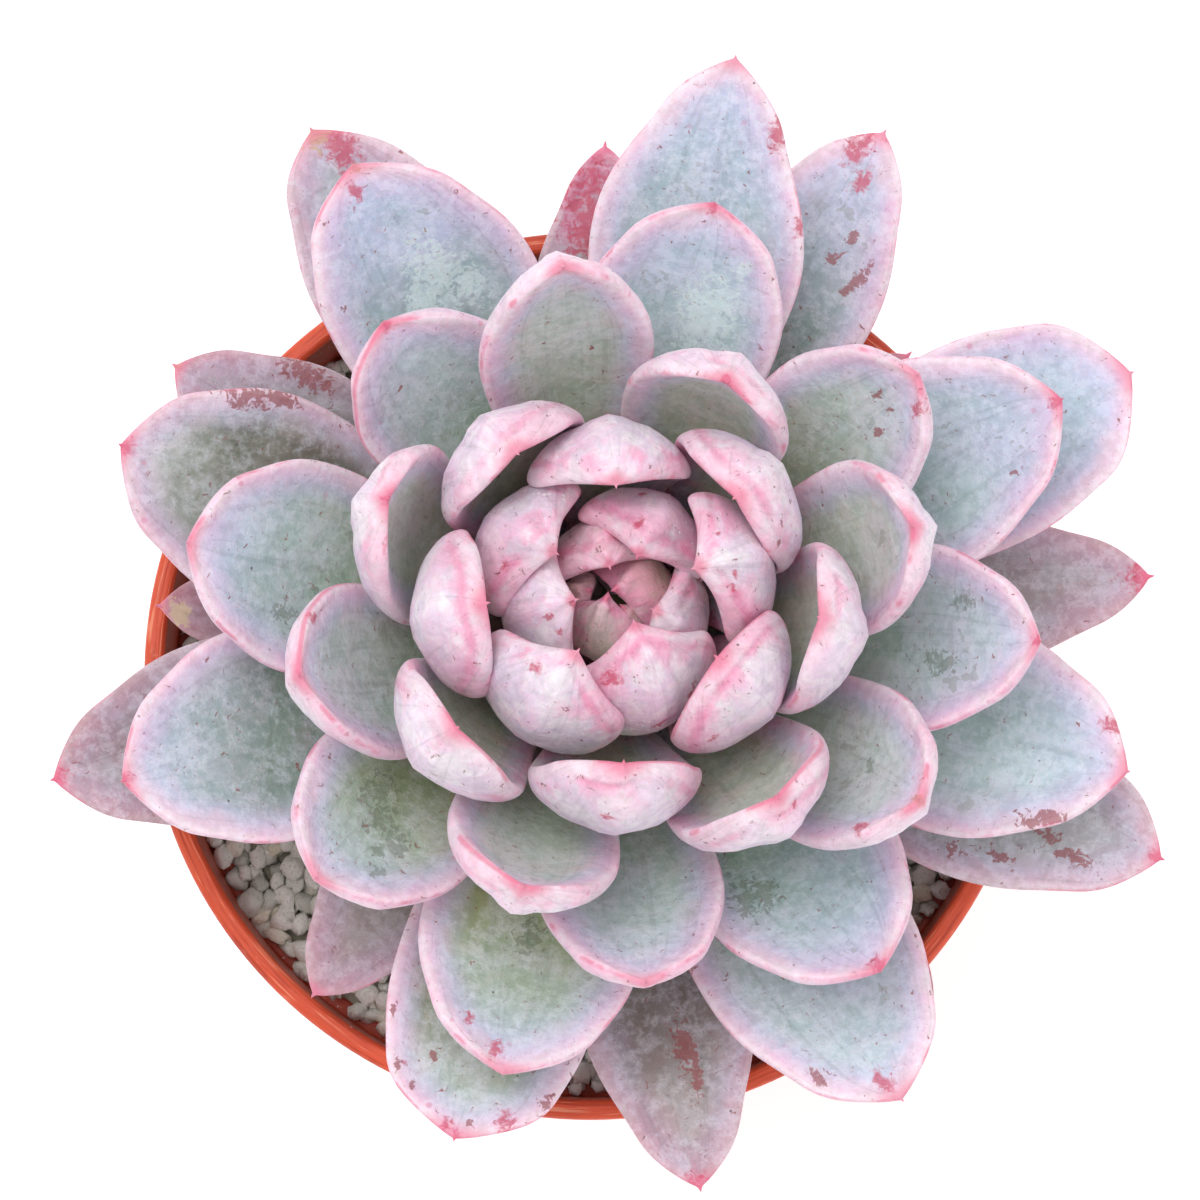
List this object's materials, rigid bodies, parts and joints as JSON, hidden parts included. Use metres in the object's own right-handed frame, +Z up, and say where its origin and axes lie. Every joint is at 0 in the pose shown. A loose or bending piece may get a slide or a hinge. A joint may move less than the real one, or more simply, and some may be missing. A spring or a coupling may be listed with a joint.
{
  "type": "potted succulent",
  "caption": "Leafy rosette succulent with plump pointed leaves round a closed heart, growing from a pumice-topped mix in a round tapered nursery pot.",
  "frame": {"origin": "centre of the pot's flat base, on the surface it stands on", "axes": "+Z up along the pot's axis; +X is the side the rosette leans to; +Y is the side its stem stands nearest to, away from the front"},
  "size_m": [0.1426, 0.1442, 0.1502],
  "materials": {
    "pot_plastic": "satin",
    "potting_mix": "matte",
    "pumice": "matte",
    "stem": "matte",
    "old_leaf": "matte",
    "open_leaf": "satin",
    "young_leaf": "satin"
  },
  "bodies": {
    "root": {"pot": "pot_plastic", "potting_mix": "potting_mix", "pumice_topdressing": "pumice", "stem": "stem", "leaf_01": "old_leaf", "leaf_02": "old_leaf", "leaf_03": "old_leaf", "leaf_04": "old_leaf", "leaf_05": "old_leaf", "leaf_06": "old_leaf", "leaf_07": "old_leaf", "leaf_08": "open_leaf", "leaf_09": "open_leaf", "leaf_10": "open_leaf", "leaf_11": "open_leaf", "leaf_12": "open_leaf", "leaf_13": "open_leaf", "leaf_14": "open_leaf", "leaf_15": "open_leaf", "leaf_16": "open_leaf", "leaf_17": "open_leaf", "leaf_18": "open_leaf", "leaf_19": "open_leaf", "leaf_20": "open_leaf", "leaf_21": "open_leaf", "leaf_22": "open_leaf", "leaf_23": "open_leaf", "leaf_24": "open_leaf", "leaf_25": "open_leaf", "leaf_26": "open_leaf", "leaf_27": "open_leaf", "leaf_28": "open_leaf", "leaf_29": "open_leaf", "leaf_30": "open_leaf", "leaf_31": "open_leaf", "leaf_32": "open_leaf", "leaf_33": "open_leaf", "leaf_34": "open_leaf", "leaf_35": "open_leaf", "leaf_36": "open_leaf", "leaf_37": "open_leaf", "leaf_38": "open_leaf", "leaf_39": "open_leaf", "leaf_40": "open_leaf", "leaf_41": "young_leaf", "leaf_42": "young_leaf", "leaf_43": "young_leaf", "leaf_44": "young_leaf", "leaf_45": "young_leaf", "leaf_46": "young_leaf", "leaf_47": "young_leaf", "leaf_48": "young_leaf", "leaf_49": "young_leaf", "leaf_50": "young_leaf", "leaf_51": "young_leaf", "leaf_52": "young_leaf", "leaf_53": "young_leaf", "leaf_54": "young_leaf", "heart_bud": "young_leaf"}
  },
  "joints": []
}
